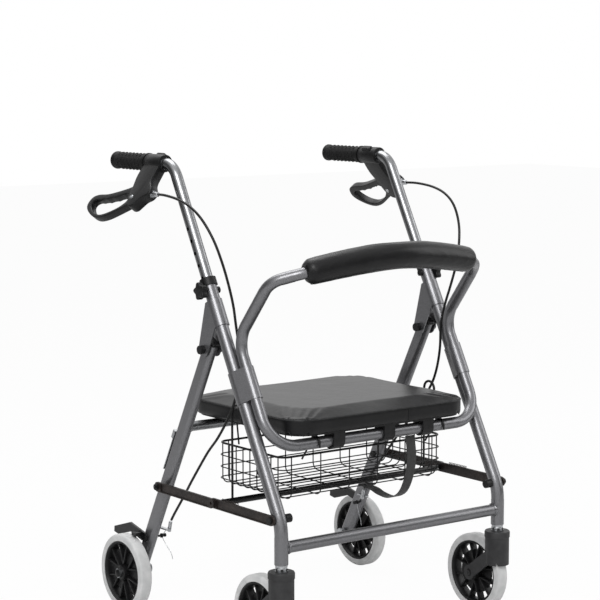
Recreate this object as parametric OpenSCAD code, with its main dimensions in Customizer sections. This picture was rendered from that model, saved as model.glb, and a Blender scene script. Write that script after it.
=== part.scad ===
// Rollator walker: four wheels, folding steel frame, flip-up seat, loop backrest,
// wire basket and two cable brakes. The front of the walker faces -Y, and the
// right-hand side of the person walking behind it is -X.

/* [Frame] */
// Distance between the centres of the two side frames
frame_w = 524; // [480:2:560]
// Height of the lower end of the front legs
leg_bottom_z = 181; // [178:1:190]
// Lean of the front legs from upright, in degrees
lean = 28.4; // [26:0.2:30]
// Outside diameter of the front leg tube
leg_d = 25.4; // [24:0.1:27]
// Wall of the leg and handle tubes
tube_wall = 1.5; // [1:0.1:1.5]
// Height of the crossbar between the front legs
crossbar_z = 211; // [208:1:220]
// Diameter of the crossbar
crossbar_d = 22; // [18:0.5:24]

/* [Rear frame] */
// Depth of the flat-oval rear leg, front to back
rear_leg_w = 32; // [26:1:36]
// Thickness of the rear leg from side to side
rear_leg_t = 17; // [14:0.5:18]
// Height of the rail that joins the rear legs
rail_z = 386; // [384:1:390]
// Diameter of that rail
rail_d = 19; // [14:0.5:20]
// Height of the fold pivots at the top of the rear legs
pivot_z = 546; // [536:1:556]

/* [Wheels] */
// Wheel diameter over the tyre
wheel_d = 152; // [140:1:156]
// Tyre width
tyre_w = 26; // [20:1:30]
// Trail of the front casters behind their stems
caster_trail = 57; // [48:1:60]
// Distance of each rear wheel outboard of its leg
rear_wheel_out = 33; // [32:0.5:40]

/* [Handles] */
// Height of the centre of the grips
grip_z = 884; // [864:1:904]
// Grip diameter
grip_d = 32; // [28:0.5:36]
// Grip length
grip_len = 118; // [96:1:122]
// Spacing of the height holes
hole_pitch = 25; // [20:1:30]

/* [Seat and backrest] */
// Seat width
seat_w = 424; // [380:2:430]
// Seat depth
seat_depth = 350; // [300:2:354]
// Seat pad thickness
pad_t = 34; // [26:1:40]
// Backrest and seat-front loop tube diameter
loop_d = 22.2; // [19:0.1:24]
// Backrest pad diameter
back_pad_d = 54; // [44:1:56]

/* [Basket] */
// Basket width
basket_w = 392; // [340:2:400]
// Basket depth, front to back
basket_len = 208; // [180:2:212]
// Height of the basket floor
basket_z = 270; // [268:1:274]

/* [Hidden] */
$fn = 48;
SIDES = ["r", "l"];
// Running clearance round a shaft, and the small gap between parts that only touch
run = 0.05;
gap = 0.4;
leg_x = frame_w / 2;
leg_r = leg_d / 2;
handle_r = leg_r - tube_wall - run;
wheel_r = wheel_d / 2;

// Front leg: an upright foot, one bend, then a straight run that leans back
foot_y = -255;
bend_z = 253;
bend_r = 90;
leg_top = 478;        // length of the leaning run, from the bend's corner
collar_h = 12;

// Stations along the leaning run, measured from the bend's corner
s_saddle = 232;
saddle_len = 62;
s_bracket = 385;
bracket_len = 52;
s_knob = 458;
function leg_yz(s) = [foot_y + s * sin(lean), bend_z + s * cos(lean)];
function leg_y_at(z) = foot_y + (z - bend_z) * tan(lean);

// Fold pivots and rear legs
pivot_y = -33;
axle_y = 214;
axle_z = wheel_r;
rear_lean = atan((axle_y - pivot_y) / (pivot_z - axle_z));
rear_len = norm([axle_y - pivot_y, pivot_z - axle_z]);
function rear_y_at(z) = pivot_y + (pivot_z - z) * tan(rear_lean);
pivot_bolt_r = 4;
cheek_t = 2;
cheek_in = leg_r + gap;

// Toggle braces outside the legs, with their hinge in the middle
brace_z = 262;
brace_fy = foot_y + 8;
brace_ry = rear_y_at(brace_z);
brace_my = (brace_fy + brace_ry) / 2;
brace_h = 19;
brace_t = 4;
brace_x = leg_x + leg_r + 1.5;
brace_pin_r = 3;

// Loop tube: seat front bar, sides along the legs, backrest bar
loop_r = loop_d / 2;
loop_x = leg_x - 11;
saddle_off = sqrt(pow(leg_r + loop_r + gap, 2) - pow(leg_x - loop_x, 2));
bar_z = 383;
loop_side_y = foot_y - saddle_off / cos(lean);
bar_y = loop_side_y + (bar_z - bend_z) * tan(lean);
knee = [loop_x, loop_side_y + (570 - bend_z) * tan(lean), 570];
shoulder = [loop_x - 4, -200, 684];
chest_x = 200;
chest = [chest_x, -239, 701];
pad_mid_y = -(axle_y + wheel_r) + back_pad_d / 2;
pad_mid_z = 722;

// Handle
grip_y = leg_y_at(grip_z);
clamp_len = 54;
clamp_y0 = grip_y + 26;
grip_y0 = clamp_y0 + clamp_len + 1;
housing_tilt = 37;    // the brake housing hangs down and outward by this angle
lever_len = 150;

// Seat
hook_wire = 4;
seat_bottom = rail_z + rail_d / 2 + hook_wire + 0.5;
board_t = 9;
seat_front_y = -232;

// Basket
rail_swing = norm([rear_y_at(rail_z) - pivot_y, pivot_z - rail_z]);
basket_top = pivot_z - rail_swing - rail_d / 2 - 1.5;   // the rail just passes over the rim as the walker folds
basket_front_y = -167;
wall = 3;

// Brake cable routes of the right side; the left side is their mirror image
cable_d = 5;
barrel_drop = 69;
barrel_tip = -38;
upper_route = [
    [-leg_x - barrel_drop * sin(housing_tilt), clamp_y0 + barrel_tip - gap, grip_z - barrel_drop * cos(housing_tilt)],
    [-307, 45, 829], [-309, 0, 824], [-308, -40, 812], [-304, -72, 790],
    [-296, -96, 755], [-286, -108, 715], [-275, -112, 675], [-263, -110, 635], [-254, -105, 600],
    [-246, -102, 560], [-244, -102, 515], [-244, -95, 478], [-244, -84, 448], [-244, -70.26, 425.43]];
lower_route = [[-244, -70, 425], [-244, -52, 400], [-244, -28, 372], [-244, 0, 345], [-243, 30, 312],
    [-242, 62, 275], [-240, 92, 240], [-240, 112, 216], [-241, 124, 200], [-242, 132, 188]];
adjuster = [-242, 134, 186];

FRAME_GREY = "#7d7d7e";
BRIGHT = "#b9bbbd";
BLACK = "#1b1b1c";
DARK = "#2b2725";
TYRE = "#d2d3d3";

// ---- small shared shapes ----

// Draws its children, which are modelled on the right (-X) side, on side s
module side(s) {
    if (s == "r") children();
    else mirror([1, 0, 0]) children();
}

// Draws its children on both sides
module both() {
    children();
    mirror([1, 0, 0]) children();
}

// Frame of the right leg's leaning run: origin s along it, +Z up the tube
module on_leg(s) {
    p = leg_yz(s);
    translate([-leg_x, p[0], p[1]]) rotate([-lean, 0, 0]) children();
}

// Frame of the right rear leg: origin at the fold pivot, -Z down the leg
module on_rear_leg() {
    translate([-leg_x, pivot_y, pivot_z]) rotate([rear_lean, 0, 0]) children();
}

// Cylinder along X, centred
module xcyl(r, h) {
    rotate([0, 90, 0]) cylinder(r = r, h = h, center = true);
}

// Straight rod between two points
module rod(a, b, r) {
    v = b - a;
    n = norm(v);
    translate(a) rotate([0, acos(v[2] / n), atan2(v[1], v[0])]) cylinder(r = r, h = n);
}

function unit(v) = v / norm(v);
function turn_angle(a, b, c) = acos(max(-1, min(1, unit(b - a) * unit(c - b))));
function tangent_len(a, b, c, r) = r * tan(turn_angle(a, b, c) / 2);

// Round bar or tube through corner points p, with bend radius bends[i] at inner corner i
module bent_tube(p, bends, r, wall_t = 0) {
    n = len(p);
    cut = [for (i = [0:n - 1]) i == 0 || i == n - 1 ? 0 : tangent_len(p[i - 1], p[i], p[i + 1], bends[i - 1])];
    v = p[1] - p[0];
    tilt = acos(v[2] / norm(v));
    turn = atan2(v[1], v[0]);
    translate(p[0]) rotate([0, tilt, turn])
        tube_run(p, bends, cut, 0, [cos(tilt) * cos(turn), cos(tilt) * sin(turn), -sin(tilt)], r, wall_t);
}

module ring(r, wall_t) {
    difference() {
        circle(r);
        if (wall_t > 0) circle(r - wall_t);
    }
}

// Bends enter the straight runs by lap and are lap_step slimmer, so that the pieces join cleanly
lap = 1;
lap_step = 0.3;

// Straight run i along +Z, then its bend, then the next run drawn in the frame where the bend ends;
// side_x is the run's own X direction in the walker's frame
module tube_run(p, bends, cut, i, side_x, r, wall_t) {
    u = unit(p[i + 1] - p[i]);
    run_len = norm(p[i + 1] - p[i]) - cut[i] - cut[i + 1];
    linear_extrude(run_len) ring(r, wall_t);
    if (i < len(p) - 2) {
        w = unit(p[i + 2] - p[i + 1]);
        ang = turn_angle(p[i], p[i + 1], p[i + 2]);
        inward = unit(w - u * (u * w));
        bend = bends[i];
        ang_lap = lap / bend * 180 / PI;
        translate([0, 0, run_len]) rotate([0, 0, atan2(inward * cross(u, side_x), inward * side_x)])
            translate([bend, 0, 0]) {
                rotate([-90, 180, 0]) rotate([0, 0, -ang_lap]) rotate_extrude(angle = ang + 2 * ang_lap)
                    translate([bend, 0]) ring(r - lap_step, wall_t > 0 ? wall_t - 2 * lap_step : 0);
                rotate([0, ang, 0]) translate([-bend, 0, 0])
                    tube_run(p, bends, cut, i + 1, inward * cos(ang) - u * sin(ang), r, wall_t);
            }
    }
}

// Faceted tube along a curve through a route's points, by a ring at each of n steps
function hermite(a, b, ta, tb, t) =
    a * (2 * t * t * t - 3 * t * t + 1) + ta * (t * t * t - 2 * t * t + t)
    + b * (3 * t * t - 2 * t * t * t) + tb * (t * t * t - t * t);
function route_tangent(p, i) =
    (p[min(i + 1, len(p) - 1)] - p[max(i - 1, 0)]) / (i == 0 || i == len(p) - 1 ? 1 : 2);
function smooth_route(p, steps) = concat(
    [for (i = [0:len(p) - 2]) for (k = [0:steps - 1])
        hermite(p[i], p[i + 1], route_tangent(p, i), route_tangent(p, i + 1), k / steps)],
    [p[len(p) - 1]]);
module swept_cord(route, r, sides, steps) {
    pts = smooth_route(route, steps);
    n = len(pts);
    rings = [for (i = [0:n - 1])
        let (t = unit(pts[min(i + 1, n - 1)] - pts[max(i - 1, 0)]),
             a = unit(cross(t, [1, 0, 0])), b = cross(t, a))
        for (k = [0:sides - 1]) pts[i] + r * (cos(360 * k / sides) * a + sin(360 * k / sides) * b)];
    walls = [for (i = [0:n - 2]) for (k = [0:sides - 1])
        let (k2 = (k + 1) % sides, p0 = i * sides, p1 = (i + 1) * sides)
        for (f = [[p0 + k, p0 + k2, p1 + k2], [p0 + k, p1 + k2, p1 + k]]) f];
    polyhedron(rings, concat([[for (k = [sides - 1:-1:0]) k]], walls,
        [[for (k = [0:sides - 1]) (n - 1) * sides + k]]));
}

// ---- front frame ----

module front_leg() {
    tube_top = leg_yz(leg_top);
    difference() {
        color(FRAME_GREY) bent_tube([[-leg_x, foot_y, leg_bottom_z], [-leg_x, foot_y, bend_z],
            [-leg_x, tube_top[0], tube_top[1]]], [bend_r], leg_r, tube_wall);
        on_leg(s_knob) xcyl(knob_bolt_r + run, leg_d + 10);
        translate([-leg_x, brace_fy, brace_z]) xcyl(brace_pin_r + run, leg_d + 10);
    }
}

module crossbar() {
    color(FRAME_GREY) difference() {
        translate([0, foot_y, crossbar_z]) rotate([0, 90, 0]) cylinder(d = crossbar_d, h = frame_w, center = true);
        for (m = [-1, 1]) translate([m * leg_x, foot_y, 0]) cylinder(r = leg_r, h = 400);
    }
}

// One tube: front bar of the seat, both sides, and the backrest bar that bows forward
function flip_x(p) = [-p[0], p[1], p[2]];
half_loop = [[0, bar_y, bar_z], [-loop_x, bar_y, bar_z], flip_x(knee), flip_x(shoulder), flip_x(chest)];
module seat_loop() {
    mid = [0, pad_mid_y, pad_mid_z];
    back_half = [for (i = [len(half_loop) - 1:-1:0]) flip_x(half_loop[i])];
    color(FRAME_GREY) bent_tube(concat(half_loop, [mid], back_half),
        [58, 55, 45, 60, bow_r, 60, 45, 55, 58], loop_r);
}
bow_r = 200;

// Two-lobed clamp that joins the leg and the loop tube on each side
module saddle_brackets() {
    skin = 2;
    color(FRAME_GREY) both() on_leg(s_saddle) difference() {
        hull() {
            cylinder(r = leg_r + skin, h = saddle_len, $fn = 40);
            translate([leg_x - loop_x, -saddle_off, 0]) cylinder(r = loop_r + skin, h = saddle_len, $fn = 40);
        }
        translate([0, 0, -1]) cylinder(r = leg_r, h = saddle_len + 2);
        translate([leg_x - loop_x, -saddle_off, -1]) cylinder(r = loop_r, h = saddle_len + 2);
    }
}

// Folded plate that wraps the front of the leg and carries the fold pivot behind it
module fold_bracket() {
    local_pivot = pivot_on_leg();
    color(FRAME_GREY) on_leg(s_bracket) difference() {
        union() {
            for (m = [-1, 1]) translate([m * (cheek_in + cheek_t / 2), 0, 0]) rotate([0, 90, 0])
                linear_extrude(cheek_t, center = true) cheek_outline(local_pivot);
            difference() {
                cylinder(r = cheek_in + cheek_t, h = bracket_len);
                translate([0, 0, -1]) cylinder(r = leg_r, h = bracket_len + 2);
                translate([-40, 0, -1]) cube([80, 40, bracket_len + 2]);
            }
        }
        translate([0, local_pivot[0], local_pivot[1]]) xcyl(pivot_bolt_r + run, 80);
    }
}

// Pivot place in the bracket's own frame: [behind the leg, along the leg]
function pivot_on_leg() =
    let (p = leg_yz(s_bracket), dy = pivot_y - p[0], dz = pivot_z - p[1])
    [dy * cos(lean) - dz * sin(lean), dy * sin(lean) + dz * cos(lean)];

// Cheek drawn with x = down the leg and y = behind it
module cheek_outline(q) {
    hull() {
        translate([-bracket_len, 0]) square([bracket_len, 8]);
        translate([-q[1], q[0]]) circle(r = 15, $fn = 32);
    }
}

module fold_bolts() {
    color(BLACK) both() translate([-leg_x, pivot_y, pivot_z]) {
        xcyl(pivot_bolt_r, 2 * (cheek_in + cheek_t) + 4);
        for (m = [-1, 1]) translate([m * (cheek_in + cheek_t + 5), 0, 0]) xcyl(8, 9);
    }
}

module leg_collars() {
    color(BLACK) both() on_leg(leg_top - collar_h) difference() {
        cylinder(r = leg_r + 3, h = collar_h + 3);
        translate([0, 0, -1]) cylinder(r = leg_r, h = collar_h + 1);
        cylinder(r = handle_r + run, h = collar_h + 4);
    }
}

knob_bolt_r = 3;
module height_bolts() {
    color(BLACK) both() on_leg(s_knob) translate([leg_r, 0, 0]) {
        translate([2.5, 0, 0]) xcyl(6.5, 5);
        translate([-tube_wall / 2, 0, 0]) xcyl(knob_bolt_r, tube_wall);
    }
}

module brace_front_bolts() {
    color(BLACK) both() translate([-leg_x, brace_fy, brace_z]) {
        translate([-(brace_t + 5) / 2, 0, 0]) xcyl(brace_pin_r, leg_d + 6 + brace_t);
        translate([leg_r + 6.5, 0, 0]) xcyl(8, 13);
        translate([leg_x - brace_x - brace_t - 3, 0, 0]) xcyl(6, 5);
    }
}

// Soft roll round the backrest bar, following its bow
// Extra room in the mouth of the pad's bore, where the loop starts to bend away
pad_mouth = 1.3;
module backrest_pad() {
    a = flip_x(chest);
    m = [0, pad_mid_y, pad_mid_z];
    u = unit(m - a);
    b = a + u * 4;
    c = a - u * 30;
    color(BLACK) difference() {
        bent_tube([b, m, flip_x(b)], [bow_r], back_pad_d / 2);
        bent_tube([c, m, flip_x(c)], [bow_r], loop_r + gap);
        both() rod(a - u * 5, a + u * 14, loop_r + gap + pad_mouth);
    }
}

module upper_cable() {
    color(BLACK) swept_cord(upper_route, cable_d / 2, 8, 3);
}

// Bar between the two mid hinges, under the basket
lift_bar_r = 6;
module lift_bar() {
    color(BLACK) translate([0, brace_my, brace_z - 2]) xcyl(lift_bar_r, 2 * (brace_x - gap));
}

// Wire rods that stand on the lift bar and end in a finger loop beside the seat
module lift_rods() {
    r = 2.5;
    x = -leg_x + 27;
    top = 428;
    w = 15;
    color(BLACK) both() {
        rod([x, brace_my, brace_z - 2 + lift_bar_r + 0.05], [x, brace_my, top + 0.5], r - lap_step);
        translate([x, brace_my - w, top]) rotate([90, 0, 90]) rotate_extrude(angle = 180) translate([w, 0]) circle(r);
        rod([x, brace_my - 2 * w, top - 18], [x, brace_my - 2 * w, top + 0.5], r - lap_step);
    }
}

// Webbing that hangs in a loop from the seat front bar to the lift bar
module pull_strap() {
    t = 1.6;
    w = 22;
    path = [[bar_y + 2, bar_z - loop_r - 1.4], [bar_y - 4, 330], [bar_y + 4, 290], [bar_y + 22, 258],
        [bar_y + 52, 243], [bar_y + 84, 244], [bar_y + 108, 250], [brace_my - 1, brace_z - lift_bar_r - 3.2]];
    color(BLACK) translate([66, 0, 0]) rotate([90, 0, 90]) linear_extrude(w)
        for (i = [0:len(path) - 2]) hull() for (q = [path[i], path[i + 1]]) translate(q) circle(d = t, $fn = 12);
}

// Open-topped wire basket, as one thin-walled tray of its outer size
module basket() {
    h = basket_top - basket_z;
    color(BLACK) translate([0, basket_front_y, basket_z]) difference() {
        translate([-basket_w / 2, 0, 0]) cube([basket_w, basket_len, h]);
        translate([-basket_w / 2 + wall, wall, wall]) cube([basket_w - 2 * wall, basket_len - 2 * wall, h]);
    }
}

// Wire hooks that hang the basket's front rim from the seat front bar
front_hook_x = 150;
module front_hooks() {
    r = 2;
    seat_r = loop_r + r;
    color(BLACK) for (m = [-1, 1]) {
        x = m * front_hook_x;
        translate([x, bar_y, bar_z]) rotate([90, 0, 90]) rotate_extrude(angle = 180) translate([seat_r, 0]) circle(r);
        rod([x, bar_y - seat_r, bar_z - 8], [x, bar_y - seat_r, bar_z + 0.5], r - lap_step);
        rod([x, basket_front_y - r + 0.5, basket_top - 8], [x, bar_y + seat_r, bar_z + 0.5], r - lap_step);
    }
}

// ---- rear frame ----

module oval(w, t) {
    hull() for (m = [-1, 1]) translate([0, m * (w - t) / 2]) circle(d = t);
}

module oval_exact(w, t) {
    square([t, w - t], center = true);
    for (m = [-1, 1]) translate([0, m * (w - t) / 2]) circle(d = t);
}

leg_foot = 16;
module rear_leg() {
    color(FRAME_GREY) difference() {
        on_rear_leg() difference() {
            translate([0, 0, -rear_len - leg_foot]) linear_extrude(rear_len + leg_foot + 14)
                oval_exact(rear_leg_w, rear_leg_t);
            translate([0, 0, -rear_len - leg_foot - 1]) linear_extrude(rear_len + leg_foot + 10)
                oval_exact(rear_leg_w - 2 * tube_wall, rear_leg_t - 2 * tube_wall);
        }
        translate([-leg_x, pivot_y, pivot_z]) xcyl(pivot_bolt_r + run, 60);
        translate([-leg_x, brace_ry, brace_z]) xcyl(brace_pin_r, 60);
        translate([-leg_x, axle_y, axle_z]) xcyl(axle_r, 60);
    }
}

module rear_rail() {
    color(BRIGHT) translate([0, rear_y_at(rail_z), rail_z]) xcyl(rail_d / 2, frame_w - rear_leg_t);
}

// Wire hooks that hang from the rail and catch the basket's back rim
hook_x = [60, 150];
module basket_hooks() {
    r = hook_wire / 2;
    y = rear_y_at(rail_z);
    seat_r = rail_d / 2 + r;
    in_y = basket_front_y + basket_len - wall - 3 - r;
    color(BLACK) for (m = [-1, 1], x = hook_x)
        hook([m * x, y, rail_z], seat_r, r, [m * x, y + seat_r, rail_z - 8], [m * x, in_y, basket_top - 12]);
}

// Wire bent over a bar at c, with a leg down to a behind it and to b in front of it
module hook(c, seat_r, r, a, b) {
    translate(c) rotate([90, 0, 90]) rotate_extrude(angle = 180) translate([seat_r, 0]) circle(r);
    for (q = [[a, 1], [b, -1]]) rod(q[0], [c[0], c[1] + q[1] * seat_r, c[2] + 0.5], r - lap_step);
}

module lower_cable() {
    color(BLACK) swept_cord(lower_route, cable_d / 2, 8, 3);
}

// Threaded barrel in a hooked tab on the inner face of each rear leg
module cable_adjusters() {
    color(BRIGHT) both() {
        rod(adjuster + [0, 0.5, -1.5], adjuster + [0, 6, -22], 3.5);
        translate([-leg_x + rear_leg_t / 2, adjuster[1] - 2, adjuster[2] - 18])
            cube([leg_x - rear_leg_t / 2 + adjuster[0] - 3.2, 28, 2.5]);
    }
}

axle_r = 5;
module rear_axles() {
    inner = leg_x - rear_leg_t / 2 - 12;
    hub_in = leg_x + rear_wheel_out - tyre_w / 2 - 2;
    hub_out = hub_in + tyre_w + 4;
    outer = hub_out + gap + 5;
    color(BRIGHT) both() translate([0, axle_y, axle_z]) {
        translate([-(inner + outer) / 2, 0, 0]) xcyl(axle_r, outer - inner);
        translate([-(inner + 4), 0, 0]) xcyl(10, 10);
        translate([-(leg_x + rear_leg_t / 2 + hub_in - gap) / 2, 0, 0]) xcyl(8, hub_in - gap - leg_x - rear_leg_t / 2);
        translate([-(outer - 2.5), 0, 0]) xcyl(9, 5);
    }
}

module brace_rear_bolts() {
    color(BLACK) both() translate([-leg_x, brace_ry, brace_z]) {
        translate([-(brace_x - leg_x + 2 * brace_t) / 2 + 2, 0, 0]) xcyl(brace_pin_r, rear_leg_t + 22);
        translate([rear_leg_t / 2 + 2.5, 0, 0]) xcyl(6, 5);
        translate([leg_x - brace_x - 2 * brace_t - gap - 2.5 - gap, 0, 0]) xcyl(6, 4);
    }
}

// Slotted plate and hook on the back of the right rear leg
module latch() {
    back = rear_leg_w / 2;
    color(BRIGHT) on_rear_leg() {
        difference() {
            translate([-7, back, -292]) cube([14, 2, 90]);
            translate([-3, back - 1, -280]) cube([6, 4, 40]);
        }
        translate([-3, back + 2, -224]) cube([6, 10, 18]);
    }
}

// ---- braces ----

// Flat channel from one end pin to the other, drawn from y0 to y1 at the given x
module brace_link(y0, y1, x_in) {
    color(DARK) translate([-x_in - brace_t, 0, brace_z]) rotate([90, 0, 90]) difference() {
        linear_extrude(brace_t) difference() {
            union() {
                translate([y0, -brace_h / 2]) square([y1 - y0, brace_h]);
                for (y = [y0, y1]) translate([y, 0]) circle(d = brace_h);
            }
            for (y = [y0, y1]) translate([y, 0]) circle(r = brace_pin_r + run);
        }
        translate([y0 + 12, -brace_h / 2 + 2, -1]) cube([y1 - y0 - 24, brace_h - 4, brace_t - 1]);
    }
}
module brace_front() {
    brace_link(brace_fy, brace_my, brace_x);
}
module brace_rear() {
    brace_link(brace_my, brace_ry, brace_x + brace_t + gap);
}
module brace_pins() {
    color(BLACK) both() translate([-brace_x - brace_t / 2, brace_my, brace_z]) xcyl(brace_pin_r, brace_t);
}

// Coil spring along the top edge of each front link
module brace_springs() {
    coils = 12;
    pitch = 4.4;
    color(DARK) both() for (k = [0:coils - 1])
        translate([-brace_x - brace_t / 2, brace_my - 30 - k * pitch, brace_z + brace_h / 2 + 2.1])
            rotate([90, 0, 0]) rotate_extrude() translate([1.6, 0]) circle(d = 1, $fn = 16);
}

// ---- seat ----

module seat_outline(grow = 0) {
    r = 46;
    w = seat_w + 2 * grow;
    d = seat_depth + 2 * grow;
    translate([0, seat_front_y + seat_depth / 2]) {
        square([w - 2 * r, d], center = true);
        square([w, d - 2 * r], center = true);
        for (m = [-1, 1], n = [-1, 1]) translate([m * (w / 2 - r), n * (d / 2 - r)]) circle(r);
    }
}
// The cover is pulled down round the board's edge and a little below it
board_inset = -6;
cover_lip = 2;
module seat_board() {
    color(BLACK) translate([0, 0, seat_bottom]) linear_extrude(board_t) seat_outline(board_inset);
}
module seat_pad() {
    color(BLACK) translate([0, 0, seat_bottom - cover_lip]) difference() {
        linear_extrude(cover_lip + board_t + 0.3 + pad_t) seat_outline();
        translate([0, 0, -1]) linear_extrude(1 + cover_lip + board_t + 0.3) seat_outline(board_inset + 0.3);
    }
}

// Plastic saddles under the board that turn on the seat front bar
clip_x = [-105, 15, 110];
module seat_clips() {
    len_x = 26;
    color(BLACK) for (x = clip_x) translate([x, bar_y, bar_z]) difference() {
        union() {
            xcyl(loop_r + 4, len_x);
            translate([-len_x / 2, -loop_r - 4, 0]) cube([len_x, 2 * loop_r + 8, seat_bottom - bar_z]);
        }
        xcyl(loop_r + gap, len_x + 2);
    }
}

// ---- handles ----

handle_in = 205;
module handle_tube() {
    low = leg_yz(leg_top - handle_in);
    color(BRIGHT) difference() {
        bent_tube([[-leg_x, low[0], low[1]], [-leg_x, grip_y, grip_z], [-leg_x, grip_y0 + grip_len - 6, grip_z]],
            [42], handle_r, tube_wall);
        for (k = [1:5]) on_leg(s_knob + k * hole_pitch)
            translate([-handle_r, 0, 0]) xcyl(3.5, 8);
    }
}

module grip() {
    color(BLACK) translate([-leg_x, grip_y0, grip_z]) rotate([-90, 0, 0]) difference() {
        union() {
            cylinder(d = grip_d, h = grip_len);
            translate([0, 0, 0]) cylinder(d = grip_d + 4, h = 5);
            translate([0, 0, grip_len - 5]) cylinder(d = grip_d + 3, h = 5);
        }
        translate([0, 0, -1]) cylinder(r = handle_r + run, h = grip_len - 3);
    }
}

// Frame of the brake housing: origin on the tube's centre, +Z away from the housing, +Y rearward
module on_housing() {
    translate([-leg_x, clamp_y0, grip_z]) rotate([0, housing_tilt, 0]) children();
}
housing_t = 20;
lever_pivot = [26, -86];     // along the tube and away from it
module brake_housing() {
    color(BLACK) on_housing() difference() {
        union() {
            rotate([-90, 0, 0]) cylinder(r = handle_r + 5.5, h = clamp_len);
            translate([-housing_t / 2, 0, 0]) rotate([90, 0, 90]) linear_extrude(housing_t) polygon(
                [[4, -10], [-2, -46], [-22, -60], [-22, -78], [-6, -84], [6, -104], [24, -106], [38, -94],
                 [48, -62], [clamp_len - 1, -30], [clamp_len - 1, -8]]);
            translate([0, -18, -barrel_drop]) rotate([90, 0, 0]) cylinder(r = 4.5, h = -18 - barrel_tip);
        }
        translate([0, -1, 0]) rotate([-90, 0, 0]) cylinder(r = handle_r + run, h = clamp_len + 2);
        translate([-housing_t / 2 + 4, 10, -120]) cube([housing_t - 8, 60, 60]);
        translate([0, lever_pivot[0], lever_pivot[1]]) xcyl(3 + run, 30);
    }
}

// Wide finger loop with its pivot pin and the eye that pulls the cable
lever_t = housing_t - 8 - 2 * gap;
module brake_lever() {
    p = lever_pivot;
    far = p[0] + lever_len;
    color(BLACK) on_housing() {
        translate([-lever_t / 2, 0, 0]) rotate([90, 0, 90]) linear_extrude(lever_t) difference() {
            union() {
                translate(p) circle(9);
                polygon([[p[0] - 4, p[1] + 9], [p[0] + 40, p[1] + 2], [far - 10, p[1] - 12], [far, p[1] - 20],
                    [far - 4, p[1] - 32], [far - 40, p[1] - 48], [far - 70, p[1] - 50], [p[0] + 30, p[1] - 26],
                    [p[0] - 4, p[1] - 9]]);
            }
            polygon([[p[0] + 36, p[1] - 8], [far - 18, p[1] - 21], [far - 12, p[1] - 27],
                [far - 43, p[1] - 38], [far - 68, p[1] - 40], [p[0] + 40, p[1] - 21]]);
        }
        translate([0, p[0], p[1]]) xcyl(3, housing_t + 2);
    }
}

module star_knob() {
    color(BLACK) on_leg(s_knob) translate([-leg_r - gap - 7, 0, 0]) rotate([0, 90, 0]) {
        translate([0, 0, -9]) linear_extrude(13) difference() {
            circle(17);
            for (k = [0:4]) rotate(k * 72) translate([20, 0]) circle(7.5);
        }
        cylinder(r = 7, h = 7);
        cylinder(r = knob_bolt_r, h = 7 + gap + tube_wall);
    }
}

// ---- wheels and casters ----

caster_y = foot_y + caster_trail;
fork_top = 168;
fork_hub_r = 23.5;
fork_hub_h = 66;
fork_arm_w = 25;
fork_arm_t = 5.5;
module caster_fork() {
    color(BLACK) translate([-leg_x, foot_y, 0]) {
        difference() {
            union() {
                translate([0, 0, fork_top - fork_hub_h]) cylinder(r = fork_hub_r, h = fork_hub_h);
                for (m = [-1, 1]) translate([m * (fork_in + fork_arm_t / 2), 0, 0]) rotate([90, 0, 90])
                    linear_extrude(fork_arm_t, center = true) fork_arm();
            }
            translate([0, caster_trail, axle_z]) xcyl(wheel_r + 4, 2 * fork_in);
            translate([0, caster_trail, axle_z]) xcyl(axle_r, 80);
        }
        translate([0, caster_trail, axle_z]) xcyl(axle_r, 2 * (fork_in + fork_arm_t) + 4);
    }
    color(BRIGHT) translate([-leg_x, foot_y, 0]) {
        translate([0, 0, fork_top - 1]) cylinder(r = 8, h = leg_bottom_z - fork_top + 2);
        translate([0, 0, fork_top]) cylinder(r = 12, h = 7, $fn = 6);
        translate([0, 0, leg_bottom_z + 0.6]) cylinder(r = handle_r, h = 34);
    }
}
fork_in = tyre_w / 2 + 4;

// Side arm from the hub down to the axle, drawn with x along the walker and y up
module fork_arm() {
    run_y = fork_top - fork_hub_h + 18 - axle_z;
    len_arm = norm([caster_trail, run_y]);
    translate([caster_trail, axle_z]) {
        circle(d = fork_arm_w + 4);
        rotate(atan2(run_y, -caster_trail)) translate([0, -fork_arm_w / 2]) square([len_arm, fork_arm_w]);
    }
}

// Tyre and rim about an axle through the origin, along X
module tyre_at(x, y) {
    color(TYRE) translate([x, y, axle_z]) rotate([0, 90, 0]) rotate_extrude() difference() {
        hull() {
            translate([wheel_r - tyre_w / 2 + 1, 0]) intersection() {
                circle(d = tyre_w, $fn = 40);
                translate([-1, -tyre_w / 2]) square([tyre_w, tyre_w]);
            }
            translate([wheel_r - 20, -tyre_w / 2 + 1]) square([8, tyre_w - 2]);
        }
        translate([0, -tyre_w]) square([wheel_r - 18, 2 * tyre_w]);
    }
}
rim_r = 58;
module rim_at(x, y, hub_len) {
    spokes = 7;
    color(BLACK) translate([x, y, axle_z]) rotate([0, 90, 0]) difference() {
        union() {
            translate([0, 0, -(tyre_w - 4) / 2]) linear_extrude(tyre_w - 4) difference() {
                circle(wheel_r - 18);
                circle(wheel_r - 24);
            }
            translate([0, 0, -2]) cylinder(r = wheel_r - 23, h = 4);
            for (k = [0:spokes - 1]) rotate(k * 360 / spokes)
                translate([12, -2, -7]) cube([wheel_r - 24 - 11, 4, 14]);
            translate([0, 0, -hub_len / 2]) cylinder(r = 15, h = hub_len);
        }
        for (k = [0:spokes - 1]) rotate((k + 0.5) * 360 / spokes) translate([38, 0, -9]) cylinder(r = 8, h = 18);
        translate([0, 0, -hub_len]) cylinder(r = axle_r + run, h = 2 * hub_len);
    }
}

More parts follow.
